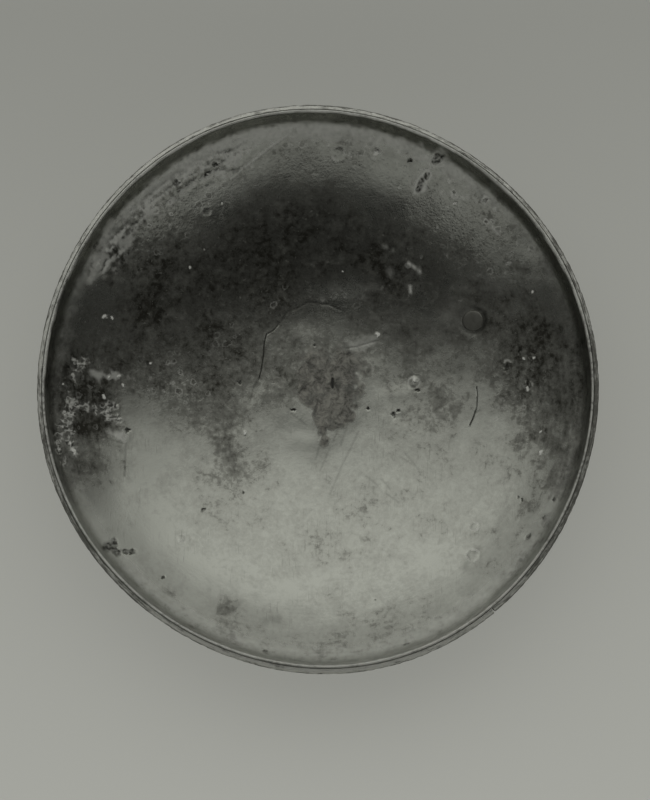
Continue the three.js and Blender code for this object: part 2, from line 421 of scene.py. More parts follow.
# The unevenness that the hammer left inside, as (height, distance apart, seed), how deep
# each kind of line lies and how far to either side of it, and how high each kind of mark.
swells = [(0.20, 34, 3), (0.09, 14, 4), (0.03, 6, 5), (0.008, 3.2, 6)]
line_depths = [
    (cracks, crack_depth, crack_width / 2), (creases, 0.03, 0.6), (scratches, 0.012, 0.45),
    ([fold], 0.03, 0.5),
]
mark_heights = [(dark_marks, -0.15), (pale_marks, 0.10), (halos, 0.07), (pale_patches, 0.03)]


def inner_relief(x, y):
    """How far the inner face stands out of its true form, in millimetres."""
    radius = np.hypot(x, y)
    relief = sum(height * noise(x, y, size, seed) for height, size, seed in swells)
    relief -= 0.1 * smooth(seat_radius, 0, radius)
    relief += 0.12 * noise(x, y, 17, 8) * smooth(66, 78, radius)
    relief += 0.14 * noise(x, y, 7, 9) * smooth(74, 79, radius) * smooth(84, 81, radius)
    for cx, cy, length, width, turn, *leans in leaning_parts:
        u, v = own_axes(x, y, cx, cy, turn)
        near = np.exp(-((u / length) ** 2 + (v / width) ** 2) * 1.5)
        slope_x, slope_y = np.tan(np.radians(leans))
        relief -= near * (slope_x * (x - cx) + slope_y * (y - cy))
    for paths, depth, reach in line_depths:
        for path in paths:
            relief -= depth * smooth(reach, 0.0, path_distance(x, y, path))
    relief += crust_cover(x, y) * (0.04 + 0.05 * fractal(x, y, 2.6, 31))
    relief -= 0.3 * smooth(0.6, 0.2, path_distance(x, y, crust_slot))
    for places, height in mark_heights:
        relief += height * marks(x, y, places)
    for bx, by, size in blisters:
        off = np.hypot(x - bx, y - by) + 0.25 * fractal(x, y, 1.5, 55)
        relief += 0.07 * smooth(size, size * 0.5, off)
        relief -= 0.05 * smooth(0.5, 0, abs(off - size))
    for bx, by, size, dark in beads:
        off = np.hypot(x - bx, y - by) / size
        relief += (0.4 - 0.6 * dark) * size * np.sqrt(np.clip(1 - off ** 2, 0, 1))
    relief += strip_cover(x, y) * (0.03 + 0.1 * strip_lumps(x, y))
    clumps = smooth(1.9, 0.6, chain_nearness(x, y)) * fractal(x, y, 1.6, 85)
    from_rivet = np.hypot(x - rivet_place[0], y - rivet_place[1])
    relief = (relief + 0.12 * clumps) * smooth(3.0, 6.0, from_rivet)
    return relief - 0.05 * smooth(0.9, 0.0, abs(from_rivet - dip_radius))


# The last hammer blows outside, how far each reached and how deep its flat is.
hammer_blows = 620
blow_radius = 5.2
blow_depth = 0.10


def outer_relief(x, y):
    """The shallow flats that the hammer left outside, none of them on the resting seat."""
    rng = np.random.default_rng(11)
    reach = rim_width / 2 * np.sqrt(rng.uniform(0, 1, hammer_blows))
    way = rng.uniform(0, 2 * np.pi, hammer_blows)
    nearest = np.full(np.shape(x), 1e9)
    for cx, cy in zip(reach * np.cos(way), reach * np.sin(way)):
        nearest = np.minimum(nearest, np.hypot(x - cx, y - cy))
    flats = -blow_depth * (1 - np.clip(nearest / blow_radius, 0, 1) ** 2)
    return flats * smooth(seat_radius, seat_radius + 6, np.hypot(x, y))


# The hole that the rivet closes, square to the wall there, and the dip that riveting left
# in the sheet round its head.
rivet_radius = 53.5
rivet_angle = math.radians(25.9)
hole_radius = 2.3
hole_points = 32
hole_margin = 0.25
dip_radius = 4.0
rivet_slope = math.asin((rivet_radius - seat_radius) / dish_radius)
rivet_height = dish_centre[1] - dish_radius * math.cos(rivet_slope)
rivet_place = hammered(*np.array([[rivet_radius], [rivet_height], [rivet_angle]]))[0]

# How many points go round the lip, and how far apart they are on the faces, where rows of
# even triangles lie a little closer than the points in a row.
lip_points = 720
row_share = 0.87
inner_step = 1.1
outer_step = 1.5
fine_step = 0.45
finest_step = 0.24
row_step = 0.35


def near_detail(x, y):
    """True where the inner face needs close points: at crust, cracks and corrosion."""
    near = np.hypot(x - 3, y - 2) < 21
    near |= path_distance(x, y, rough_strip) < rough_reach
    near |= chain_nearness(x, y) < 3
    for line in cracks + creases + scratches + [fold]:
        near |= path_distance(x, y, line) < 2
    for cx, cy, length, *_ in dark_marks + pale_marks:
        near |= np.hypot(x - cx, y - cy) < length + 1.5
    for cx, cy, size in blisters:
        near |= np.hypot(x - cx, y - cy) < size + 1
    return near | (np.hypot(x - rivet_place[0], y - rivet_place[1]) < 6)


def near_speck(x, y):
    """True where it needs the closest points: at small marks, beads and fine lines."""
    near = chain_nearness(x, y) < 1.6
    for line in creases + [fold, crust_slot]:
        near |= path_distance(x, y, line) < 0.5
    for cx, cy, length, *_ in dark_marks + pale_marks:
        near |= np.hypot(x - cx, y - cy) < min(length, 1.4) + 0.35
    return near


def crack_rows():
    """Points in rows along both edges and the bottom of each crack."""
    rows = []
    for line in cracks:
        corners = np.array(line, float)
        lengths = path_lengths(corners)
        at = np.arange(0, lengths[-1], row_step)
        middle = np.stack([np.interp(at, lengths, corners[:, k]) for k in (0, 1)], 1)
        ways = np.gradient(middle, axis=0)
        across = np.stack([-ways[:, 1], ways[:, 0]], 1) / np.hypot(*ways.T)[:, None]
        for off in (-0.4, -crack_width / 2, 0, crack_width / 2, 0.4):
            rows.append(middle + off * across)
    return np.concatenate(rows)


def hex_places(reach, step):
    """The places of a grid of even triangles within a disc."""
    x, y = np.meshgrid(np.arange(-reach, reach, step), np.arange(-reach, reach, step * row_share))
    x = x + 0.5 * step * (np.arange(len(x)) % 2)[:, None]
    held = np.hypot(x, y) < reach
    return x[held], y[held]


def fine_places(reach):
    """All the close points of the inner face, in plan."""
    x, y = hex_places(reach, fine_step)
    held = near_detail(x, y)
    x, y = x[held], y[held]
    held = ~near_speck(x, y)
    closer_x, closer_y = hex_places(reach, finest_step)
    inner = near_speck(closer_x, closer_y)
    x = np.concatenate([x[held], closer_x[inner]])
    y = np.concatenate([y[held], closer_y[inner]])
    for line in cracks:
        clear = path_distance(x, y, line) > 0.6
        x, y = x[clear], y[clear]
    rows = crack_rows()
    return np.concatenate([x, rows[:, 0]]), np.concatenate([y, rows[:, 1]])


def face_mesh(side, step, relief, fine=False):
    """One face of the sheet as points in metres, triangles and the numbers of the points
    round the rivet's hole. Points are spread over the face unrolled to a disc, closer
    where near_detail() says, and joined by Delaunay's rule."""
    points, normals, along = face_section(side)
    rising = points[:, 0] <= wall_middle[0]

    def on_face(x, y):
        return np.interp(true_radius(x, y), points[rising, 0], along[rising]), np.arctan2(y, x)

    lengths, angles = [], []
    rings = int(round(along[-1] / (step * row_share)))
    for k in range(1, rings + 1):
        length = along[-1] * k / rings
        radius = np.interp(length, along, points[:, 0])
        count = lip_points if k == rings else max(6, int(round(2 * math.pi * radius / step)))
        turned = 0 if k == rings else 0.5 * (k % 2) * 2 * math.pi / count
        angles.append(np.arange(count) * 2 * math.pi / count + turned)
        lengths.append(np.full(count, length))
    length, angle = np.concatenate(lengths), np.concatenate(angles)
    if fine:
        flat = hammered(np.interp(length, along, points[:, 0]), 0 * length, angle)
        coarse = ~near_detail(flat[:, 0], flat[:, 1])
        reach = wall_middle[0] - 1
        coarse |= np.hypot(flat[:, 0], flat[:, 1]) > reach
        x, y = fine_places(reach)
        fine_length, fine_angle = on_face(x, y)
        length = np.concatenate([length[coarse], fine_length])
        angle = np.concatenate([angle[coarse], fine_angle])

    face_radius = seat_radius + (dish_radius + sheet * (side + 1) / 2) * math.sin(rivet_slope)
    hole_length = np.interp(face_radius, points[rising, 0], along[rising])
    turn_off = np.remainder(angle - rivet_angle + np.pi, 2 * np.pi) - np.pi
    keep = np.hypot(length - hole_length, turn_off * face_radius) > hole_radius + hole_margin
    ring = np.arange(hole_points) * 2 * np.pi / hole_points
    length = np.concatenate([hole_length + hole_radius * np.cos(ring), length[keep]])
    angle = np.concatenate([rivet_angle + hole_radius * np.sin(ring) / face_radius, angle[keep]])

    spots_at = [Vector(p) for p in zip(length * np.cos(angle), length * np.sin(angle))]
    _, _, triangles, source, _, _ = delaunay_2d_cdt(spots_at, [], [], 0, 1e-7)
    triangles = [t for t in triangles if not all(source[i][0] < hole_points for i in t)]
    first = [s[0] for s in source]
    hole = [first.index(k) for k in range(hole_points)]
    length, angle = length[first], angle[first]
    radius, height, out, up = (
        np.interp(length, along, column) for column in (*points.T, *normals.T)
    )
    place = hammered(radius, height, angle)
    fade = smooth(0.0, 3.0, along[-1] - length)
    stand = relief(place[:, 0], place[:, 1]) * fade
    place += stand[:, None] * np.stack([out * np.cos(angle), out * np.sin(angle), up], 1)
    if side > 0:
        triangles = [t[::-1] for t in triangles]
    return place * mm, triangles, hole


def lattice(rows, count):
    """Faces between neighbouring rows of points, each row of so many points and closed."""
    return [
        [low, low + count, high + count, high]
        for start in range(0, (rows - 1) * count, count)
        for low, high in ((start + j, start + (j + 1) % count) for j in range(count))
    ]


def make_piece(name, points, faces):
    """A smooth-shaded mesh piece of the object from points in metres and faces."""
    mesh = bpy.data.meshes.new(name)
    mesh.from_pydata([tuple(p) for p in points], [], faces)
    mesh.polygons.foreach_set("use_smooth", [True] * len(mesh.polygons))
    piece = bpy.data.objects.new(name, mesh)
    bpy.context.scene.collection.objects.link(piece)
    return piece


inner_points, inner_faces, inner_hole = face_mesh(-1, inner_step, inner_relief, fine=True)
outer_points, outer_faces, outer_hole = face_mesh(1, outer_step, outer_relief)
shift = len(inner_points)
hole_wall = [
    [inner_hole[k], inner_hole[k - 1], outer_hole[k - 1] + shift, outer_hole[k] + shift][::-1]
    for k in range(hole_points)
]
bowl = make_piece(
    "raised_bowl",
    np.concatenate([inner_points, outer_points]),
    list(inner_faces) + [[i + shift for i in face] for face in outer_faces] + hole_wall,
)


def mark(piece, name, values):
    """Keeps one number for each point of a piece's mesh, for its material to read."""
    layer = piece.data.attributes.new(name, "FLOAT", "POINT")
    layer.data.foreach_set("value", np.asarray(values, np.float32))


def drawn(paths, tone, edge, core):
    """How strongly each line shows inside: as its tone in its core, and not past its edge."""
    return [tone * smooth(edge, core, path_distance(x, y, path)) for path in paths]


# What lies on each point of the inside, from 0 to 1; among the dark is painted shade round
# the rivet, and among the pale is painted light on the wall and lip. Outside is only tarnish
# and a worn lip.
x, y, z = inner_points.T / mm
true_out = true_radius(x, y)
way_round = np.degrees(np.arctan2(y, x)) % 360
pale_beads, dark_beads = (
    [(bx, by, size, size, 0) for bx, by, size, dark in beads if dark == kind]
    for kind in (False, True)
)
from_rivet = np.hypot(x - rivet_place[0], y - rivet_place[1])
from_rivet_way = np.arctan2(y - rivet_place[1], x - rivet_place[0])
# Painted shade: on the rivet's +X side a dark ring in the dip round its head stands in for the head's
# shadow.
rivet_shadow_side = smooth(-0.9, 0.7, np.cos(from_rivet_way - math.radians(15)))
cover = marks(x, y, dark_marks) * (0.85 + 0.35 * fractal(x, y, 0.8, 53))
chain_zone = smooth(1.9, 0.5, chain_nearness(x, y) + 0.9 * fractal(x, y, 1.6, 83))
clumps = fractal(x, y, 1.6, 85)
strip_zone, lumps = strip_cover(x, y), strip_lumps(x, y)
dark = np.maximum.reduce([
    *drawn(cracks[:1], 0.6, crack_width, crack_width * 0.4),
    *drawn(cracks[1:], 0.4, crack_width, crack_width * 0.4),
    *drawn(creases, 0.25, 0.5, 0.1), *drawn(scratches, 0.2, 0.5, 0.1),
    *drawn([fold], 0.25, 0.45, 0.1), *drawn([crust_slot], 1.0, 0.75, 0.3),
    # Painted shade round the rivet's head, strongest on its +X side.
    0.65 * rivet_shadow_side * smooth(1.2, 0.1, abs(from_rivet - dip_radius)),
    0.75 * cover, 0.85 * marks(x, y, dark_beads, 0.6), 0.26 * marks(x, y, soft_strokes, 0.8, 0.9),
    0.85 * chain_zone * smooth(-0.25, -0.6, clumps), 0.4 * strip_zone * smooth(-0.3, -0.9, lumps),
])
rings = [
    0.4 * smooth(-0.2, 0.5, clumps)
    * smooth(0.5, 0.1, abs(np.hypot(x - bx, y - by) + 0.5 * clumps - size))
    for bx, by, size in blisters
]
top_of_lip = bowl_height + wave(np.arctan2(y, x))
lip = smooth(0.0, -0.4, top_of_lip - z - np.interp(way_round, *zip(*lip_places)))
# Painted light as well as pale film: the turn and wall are made paler by their way round.
film_and_light = np.interp(way_round, *zip(*film_and_light_places))
film_and_light *= smooth(76.2, 80.6, true_out + 1.1 * fractal(x, y, 4.5, 93))
film_and_light *= np.where(y > 0, smooth(83, 81.4, true_out), 1)
bent = z + 1.5 * fractal(x, y, 5, 105)
uneven = 0.6 * rim_streaks(x, y, 128, 2.4, 97, bent) + 0.5 * fractal(x, y, 1.3, 107)
film_and_light *= np.clip(0.9 + (0.9 + 0.5 * smooth(0, 40, y)) * uneven, 0, 2)
trails = [0.65 * smooth(0.55, 0.15, path_distance(x, y, path) + 0.35 * abs(clumps))
          for path in pale_trails]
outlines = smooth(0.2, 0.05, abs(noise(x, y, 2.2, 87) + 0.25 * noise(x, y, 0.9, 88)))
bloom_and_light = np.maximum.reduce([
    0.6 * marks(x, y, pale_beads, 0.8), 0.75 * strip_zone * smooth(-0.2, 0.5, lumps),
    marks(x, y, pale_marks), 0.5 * marks(x, y, pale_patches, 0.8, 0.45),
    0.78 * np.minimum(film_and_light, 0.9), chain_zone * (0.12 + 0.5 * outlines),
    *[share * marks(x, y, [place], 0.6, 0.7) for *place, share in faint_films],
    0.8 * marks(x, y, halos), *rings, *trails,
])
# Painted highlight as well as wear: a broken pale band along the inner lip.
worn_and_lit_lip = (0.2 + 0.45 * smooth(-0.3, 0.3, rim_streaks(x, y, 64, 1.4, 99))) * lip
bloom_and_light = np.maximum(bloom_and_light * (1 - np.clip(cover, 0, 1)), worn_and_lit_lip)
grit = np.maximum.reduce([
    share * marks(x, y, [place], 0.5, 0.9) for *place, share in gritty_places
])

# Tarnish is thin on the near side of the floor and heavy on the far side (+Y) and the
# side walls, so the floor is darker towards the far side. Marked patches add to it, as
# (x, y, radius, strength).
tarnish_patches = [
    (-25, -16.5, 10, 0.2), (-33, -5.5, 10, 0.1), (25.5, -4.8, 3, 0.35), (38, 2, 7, 0.15),
    (-22, -27, 11, 0.2), (-75, -27, 8, 0.5), (-28, -67.5, 5, 0.25), (14, -32, 9, 0.1),
    (-8, 3, 6, 0.12), (-72, -8, 12, 0.2), (-58, 35, 10, 0.5), (-50, 46, 8, 0.3),
    (76, -28, 10, 0.4), (62, 18, 9, 0.25), (60, 33, 7, 0.15), (69, 19, 8, 0.2),
    (-55, -15, 9, -0.7), (-55, -3, 7, -0.3), (-57, -40, 11, -0.4), (-47, -51, 8, -0.35),
    (-33, -58, 9, -0.3), (-7, -12, 7, -0.5), (9, -12, 7, -0.5), (16, -4, 7, -0.5),
    (19, 2, 8, -0.25), (44, 8, 8, -0.5), (52, -7, 8, -0.5), (59, -13, 6, -0.25),
    (67, -22, 5, -0.3), (67, -12, 5, 0.3), (75, -40, 6, 0.25), (-31, -24, 9, 0.2),
    (20, 62, 12, -0.4), (9, 33, 7, -0.4), (70, 40, 5, 0.3), (62, 51, 5, 0.15),
    (52, 61, 5, 0.15), (58, 46, 5, -0.15), (36, 38, 10, -0.35), (2, 29, 9, -0.3),
    (-32, 12, 9, 0.3), (-30, -20, 7, 0.1), (-67.5, -9.5, 4, 0.6), (-34, 62, 9, -0.35),
    (66, -44, 8, 0.15), (40, 58, 8, -0.3), (-67, -38, 7, -0.4), (41, -57, 8, -0.3),
    (-10, -65, 8, -0.3), (-22, 75, 7, -0.4),
]
upper = smooth(-28, 16, y + 0.28 * np.clip(abs(x) - 25, 0, 60))
tarnish = -0.14 + 0.62 * upper - 0.6 * smooth(58, 70, true_out) * smooth(5, 35, y)
tarnish += 0.3 * smooth(16, 40, y) * smooth(62, 50, true_out)
for px, py, size, strength in tarnish_patches:
    near = np.hypot(x - px, y - py) / size + 0.6 * fractal(x, y, 8, 91)
    tarnish += strength * smooth(1.7, 0.2, near)
tarnish += 0.2 * strip_zone
wavy = true_out + 1.6 * fractal(x, y, 11, 109)
tarnish += smooth(-15, -35, y) * (0.1 - 0.2 * smooth(50, 58, wavy))
tarnish += 0.13 * smooth(67.5, 69, wavy) * smooth(-45, -60, y)
streaks = rim_streaks(x, y, 64, 1.4, 95)
tarnish += 0.2 * streaks * smooth(45, 65, true_out) * smooth(60, 20, abs(y))
wall = smooth(77, 81.5, true_out) * (0.15 + 0.85 * smooth(20, -40, y))
outer_top = bowl_height + wave(np.arctan2(outer_points[:, 1], outer_points[:, 0]))
outer_lip = 0.7 * smooth(0.8, 0.3, outer_top - outer_points[:, 2] / mm)
blank = np.zeros(len(outer_points))
for name, within, outside in [
    ("crust", crust_cover(x, y), 0), ("bloom_and_light", bloom_and_light, outer_lip), ("dark", dark, 0),
    ("grit", grit, 0), ("wall", wall, 1), ("tarnish", tarnish, 0.35),
]:
    mark(bowl, name, np.concatenate([within, blank + outside]))


def weld(piece, reach):
    """Joins the points on a mesh's open edges that lie within so many millimetres."""
    mesh = bmesh.new()
    mesh.from_mesh(piece.data)
    open_edge = [v for v in mesh.verts if v.is_boundary]
    bmesh.ops.remove_doubles(mesh, verts=open_edge, dist=reach * mm)
    mesh.to_mesh(piece.data)
    mesh.free()


weld(bowl, 0.01)


def linear(hex_colour):
    """An sRGB hex colour as the linear RGBA that a shader socket takes."""
    parts = [int(hex_colour[i:i + 2], 16) / 255 for i in (1, 3, 5)]
    return [c / 12.92 if c <= 0.04045 else ((c + 0.055) / 1.055) ** 2.4 for c in parts] + [1.0]


def plug(node, sockets):
    """Sets or links a node's input sockets."""
    for key, value in sockets.items():
        if isinstance(value, bpy.types.NodeSocket):
            node.id_data.links.new(value, node.inputs[key])
        else:
            node.inputs[key].default_value = value


def add(tree, kind, sockets=None, **settings):
    """One shader node of this kind, with its settings, and its sockets set or linked."""
    node = tree.nodes.new("ShaderNode" + kind)
    for name, value in settings.items():
        setattr(node, name, value)
    plug(node, sockets or {})
    return node


def begin(name):
    """A new material, its node tree, and the place on the object that its patterns follow."""
    material = bpy.data.materials.new(name)
    material.use_nodes = True
    tree = material.node_tree
    return material, tree, add(tree, "TexCoord").outputs["Object"]


def stored(tree, name):
    """A number that the mesh keeps for each of its points."""
    return add(tree, "Attribute", attribute_name=name).outputs["Fac"]


def reckon(operation, first, second=0.0, third=0.0):
    """One sum on a value."""
    return add(first.id_data, "Math", {0: first, 1: second, 2: third}, operation=operation).outputs[0]


def times(first, second):
    """The product of two values."""
    return reckon("MULTIPLY", first, second)


def tally(value, *shares):
    """A value with shares of others added to it, each as (other, factor)."""
    for other, factor in shares:
        value = reckon("MULTIPLY_ADD", other, factor, value)
    return value


def ramp(value, low, high, bottom=0.0, top=1.0, **settings):
    """A value's rise from bottom to top, as it goes from low to high."""
    return add(value.id_data, "MapRange", {
        "Value": value, "From Min": low, "From Max": high, "To Min": bottom,
        "To Max": top}, **settings).outputs[0]


def layered(number, *layers):
    """A number with others laid over it, each as (share, number)."""
    for share, other in layers:
        number = add(share.id_data, "Mix", {0: share, 2: number, 3: other}).outputs[0]
    return number


def painted(tone, *layers):
    """A colour with others laid over it, each as (share, colour). A colour is hex or a socket."""
    for share, other in layers:
        tone, other = (linear(c) if isinstance(c, str) else c for c in (tone, other))
        tone = add(share.id_data, "Mix", {0: share, 6: tone, 7: other}, data_type="RGBA").outputs[2]
    return tone


def clouds(place, size, detail, roughness=0.6, twist=0.0):
    """Noise with its swells so many millimetres apart."""
    return add(place.id_data, "TexNoise", {
        "Vector": place, "Scale": 1 / (size * mm), "Detail": detail, "Roughness": roughness,
        "Distortion": twist}).outputs["Fac"]


def round_streaks(place, ring, length, width, detail, sink=0.0):
    """Streaks that run round the bowl, and each place's radius. They have this length on a ring
    of this radius and this width across it, in millimetres. With a sink of 1 their width is
    counted down the outside as well."""
    tree = place.id_data
    east, north, high = add(tree, "SeparateXYZ", {0: place}).outputs
    flat = add(tree, "CombineXYZ", {0: east, 1: north}).outputs[0]
    unit = add(tree, "VectorMath", {0: flat}, operation="NORMALIZE").outputs[0]
    around = add(tree, "VectorMath", {0: unit, 3: ring / length}, operation="SCALE").outputs[0]
    radius = add(tree, "VectorMath", {0: flat}, operation="LENGTH").outputs["Value"]
    across = times(tally(radius, (high, -sink)), 1 / (width * mm))
    lift = add(tree, "CombineXYZ", {2: across}).outputs[0]
    turned = add(tree, "VectorMath", {0: around, 1: lift}, operation="ADD").outputs[0]
    streaks = add(tree, "TexNoise", {"Vector": turned, "Scale": 1.0, "Detail": detail})
    return streaks.outputs["Fac"], radius


def bumps(height, depth):
    """The shading of small relief, of a depth in millimetres."""
    return add(height.id_data, "Bump", {
        "Height": height, "Strength": 1.0, "Distance": depth * mm}).outputs["Normal"]


def tarnished_sheet_silver():
    """Old sheet silver: a blurred, dim mirror where it is clean, duller and darker where
    tarnish has clouded it, and earthy and flat under crust and pale corrosion. It also carries
    painted shade round the rivet and painted light on the wall and lip."""
    material, tree, place = begin("tarnished_sheet_silver")
    tarnish, grit, dark, crust, bloom_and_light, wall = (
        stored(tree, name) for name in ("tarnish", "grit", "dark", "crust", "bloom_and_light", "wall"))
    slow, blotch = clouds(place, 13, 4.0), clouds(place, 4.5, 6.0)
    mottle, grain = clouds(place, 1.5, 5.0, 0.62), clouds(place, 0.6, 3.0)
    curls, flecks = clouds(place, 1.9, 5.0, 0.65, 0.8), clouds(place, 0.75, 2.0, 0.5, 0.6)

    # Polishing left faint streaks round the bowl, about 8 mm long and 0.8 mm apart.
    streak, radius = round_streaks(place, 70, 8, 0.8, 3.0)
    streaked = times(streak, ramp(radius, 45 * mm, 70 * mm))

    # Fine rubbed strokes, all one way, cross the floor in groups.
    sloped = add(tree, "Mapping", {
        "Vector": place, "Rotation": (0.0, 0.0, math.radians(-28)),
        "Scale": (1 / (0.45 * mm), 1 / (6 * mm), 1.0)}).outputs[0]
    strokes = add(tree, "TexNoise", {"Vector": sloped, "Scale": 1.0, "Detail": 2.0}).outputs["Fac"]
    rubbed = times(ramp(strokes, 0.60, 0.70), ramp(slow, 0.45, 0.6))

    # Tarnish is as thick as the marks and the slow, middling and quick clouds add up to.
    gritty = times(grit, clouds(place, 1.2, 5.0, 0.7))
    depth = tally(tarnish, (slow, 1.1), (blotch, 0.9), (mottle, 1.0), (curls, 1.1),
                  (streaked, 0.45), (grit, -1.0), (gritty, 2.0))
    thin, thick = ramp(depth, 1.7, 2.5), ramp(depth, 2.25, 3.05)

    # A chalky haze lies on the tarnish in small clouds. Small flecks, some dark and some
    # pale, sit most in the tarnish and in rough places.
    haze = times(ramp(clouds(place, 3.4, 6.0, 0.62, 0.5), 0.48, 0.70), ramp(tarnish, 0.1, 0.5))
    held = reckon("MAXIMUM", ramp(depth, 2.0, 2.5, 0.0, 0.4), times(grit, 0.6))
    dark_flecks = times(ramp(flecks, 0.38, 0.32), held)
    pale_flecks = times(ramp(flecks, 0.66, 0.72), held)

    # Rough places are pocked with shallow pits, 3 mm apart and up to 2 mm across, each with
    # a pale rim. Chance says how large each is, and leaves half of them out.
    wander = add(tree, "TexNoise", {"Vector": place, "Scale": 1 / (1.3 * mm), "Detail": 3.0})
    bent = add(tree, "VectorMath", {
        0: wander.outputs["Color"], 1: (1.8 * mm,) * 3, 2: place}, operation="MULTIPLY_ADD")
    cells = add(tree, "TexVoronoi", {"Vector": bent.outputs[0], "Scale": 1 / (3 * mm)}).outputs
    size = ramp(cells["Color"], 0.45, 0.8, 0.0, 0.36)
    past = reckon("SUBTRACT", cells["Distance"], size)
    sized = times(ramp(grit, 0.2, 1), ramp(size, 0.04, 0.16))
    pit_rims = times(ramp(reckon("ABSOLUTE", past), 0.1, 0.01, 0, 0.6), sized)
    pits = times(ramp(past, 0.0, -0.12, 0, 0.6), sized)

    # Over the metal lie the dark of cracks and pits, with painted shade round the rivet, the
    # crust, and the pale corrosion, with painted light on the wall and lip.
    metal = painted(
        "#a0a298", (thin, "#8d8e85"), (thick, "#37362f"), (times(rubbed, 0.3), "#56564f"),
        (times(haze, 0.36), "#9a9b91"), (dark_flecks, "#2b2a25"), (pale_flecks, "#b0b1a7"),
        (pits, "#4b4a43"), (pit_rims, "#dcddd3"))
    wisps = ramp(clouds(place, 2.2, 7.0, 0.7, 0.5), 0.38, 0.62)
    crusted = times(crust, ramp(blotch, 0.3, 0.55, 0.6, 1.0))
    covered = painted(
        metal, (dark, "#25251f"), (crusted, painted("#3d3c35", (wisps, "#949388"))),
        (ramp(dark, 0.5, 1.0), "#25251f"), (bloom_and_light, "#e4e5db"))

    earth = reckon("MAXIMUM", crusted, bloom_and_light)
    bare = layered(1.0, (thick, 0.9), (haze, 0.8), (wall, 0.7), (pale_flecks, 0.3),
                   (pit_rims, 0.3), (earth, 0.15))
    rough = layered(0.19, (thin, 0.27), (thick, 0.42), (wall, 0.5), (earth, 0.65))
    height = tally(mottle, (grain, 0.5), (pits, -1.5), (streaked, 0.4), (blotch, 0.7),
                   (times(grit, flecks), 2.5))
    plug(tree.nodes["Principled BSDF"], {
        "Base Color": covered, "Metallic": bare, "Roughness": rough,
        "Normal": bumps(height, 0.025)})
    return material


bowl.data.materials.append(tarnished_sheet_silver())
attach(bowl, "root")
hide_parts("bowl_body")

# The strip: half-round silver, bent round the outside of the lip and soldered, its two
# ends butted. It stiffens the thin edge. Wear and burial have pitted and furred it.

butt_angle = math.radians(308)
butt_gap = 0.5
butt_slip = 0.35  # one end slipped down past the other
slip_reach = 6.0  # how far along that end the slip fades out
strip_places = 1080
crown_shares = np.sin(np.linspace(-math.pi / 2, math.pi / 2, 25))  # up its half height
back_points = 5
groove_depth = 0.03  # between the lip and the strip, where the solder didn't fill


def strip_section():
    """The strip's section as (out, up), crown first, with how much corrosion may eat it and
    how much each point sinks where the groove beside the lip is open."""
    half = strip_height / 2
    bulge = (1 - abs(crown_shares) ** 2.6) ** 0.36
    crown = np.stack([sheet + seam_gap + strip_thickness * bulge, half * crown_shares], 1)
    back = [
        (sheet + 0.15, half), (sheet + 0.04, half - 0.02), (sheet + 0.02, 0.0),
        (sheet + 0.02, -half + 0.2), (sheet + 0.25, -half),
    ]
    away = np.gradient(crown, axis=0)[:, ::-1] * (1, -1)
    away = away / np.hypot(*away.T)[:, None]
    eaten = np.concatenate([away, np.zeros((back_points, 2))])
    sunk = np.concatenate([np.zeros(len(crown)), [0.5, 1.0, 0.0, 0.0, 0.0]])
    return np.concatenate([crown, back]), eaten, sunk


def strip_mesh():
    """The strip swept round the lip from one butted end to the other."""
    section, eaten, sunk = strip_section()
    path = path_lengths(section)
    half_gap = butt_gap / rim_width
    angles = np.linspace(half_gap, 2 * math.pi - half_gap, strip_places) + butt_angle
    points = []
    for angle in angles:
        end = max(0.0, 1 - (angle - angles[0]) * rim_width / 2 / slip_reach)
        round_it = np.full(len(path), (angle % (2 * math.pi)) / (2 * math.pi) * 256)
        furred = 0.12 + 0.16 * fractal(round_it, path / 0.7, 1.0, 101)
        furred += 0.08 * noise(round_it / 4, path / 3, 1.0, 108)
        place = section - np.clip(furred, 0, 0.4)[:, None] * eaten
        open_share = 0.12 + 0.18 * smooth(-0.2, 0.6, math.sin(angle))
        gap = groove_depth + open_share * noise(round_it / 2, path * 0, 1.0, 109)[0]
        place[:, 1] -= sunk * np.clip(gap, 0, 0.45)
        place = place - np.array([0.12, butt_slip]) * end
        flat = on_wall(0.0, 0.0) + place @ np.array([wall_out, wall_up])
        points.append(hammered(flat[:, 0], flat[:, 1], np.full(len(path), angle)))
    count = len(section)
    start_cap = list(range(count))
    end_cap = [(strip_places - 1) * count + j for j in range(count)][::-1]
    return np.concatenate(points) * mm, lattice(strip_places, count) + [start_cap, end_cap]


strip = make_piece("rim_strip", *strip_mesh())

# How much paler or darker the strip is made on its way round: degrees from +X, and the shift.
strip_tone_places = [
    (0, -0.35), (30, -0.05), (60, 0.1), (90, 0.1), (120, 0.15), (150, 0.15), (172, 0.0),
    (190, -0.25), (222, -0.2), (245, 0.15), (270, 0.2), (300, 0.1), (330, -0.3), (360, -0.35),
]
strip_points = np.array([v.co[:2] for v in strip.data.vertices])
strip_way = np.degrees(np.arctan2(strip_points[:, 1], strip_points[:, 0])) % 360
shoulder = np.tile(np.append(crown_shares, np.ones(back_points)), strip_places)
far = smooth(-0.2, 0.6, np.sin(np.radians(strip_way)))
# Painted light and shade: the strip's upward top edge paler, its crown below that darker.
lit_top_and_shade = 0.1 - 0.5 * smooth(0.85 + 0.12 * far, 0.55 + 0.3 * far, shoulder)
mark(strip, "wear_and_shade", np.interp(strip_way, *zip(*strip_tone_places)) + lit_top_and_shade)


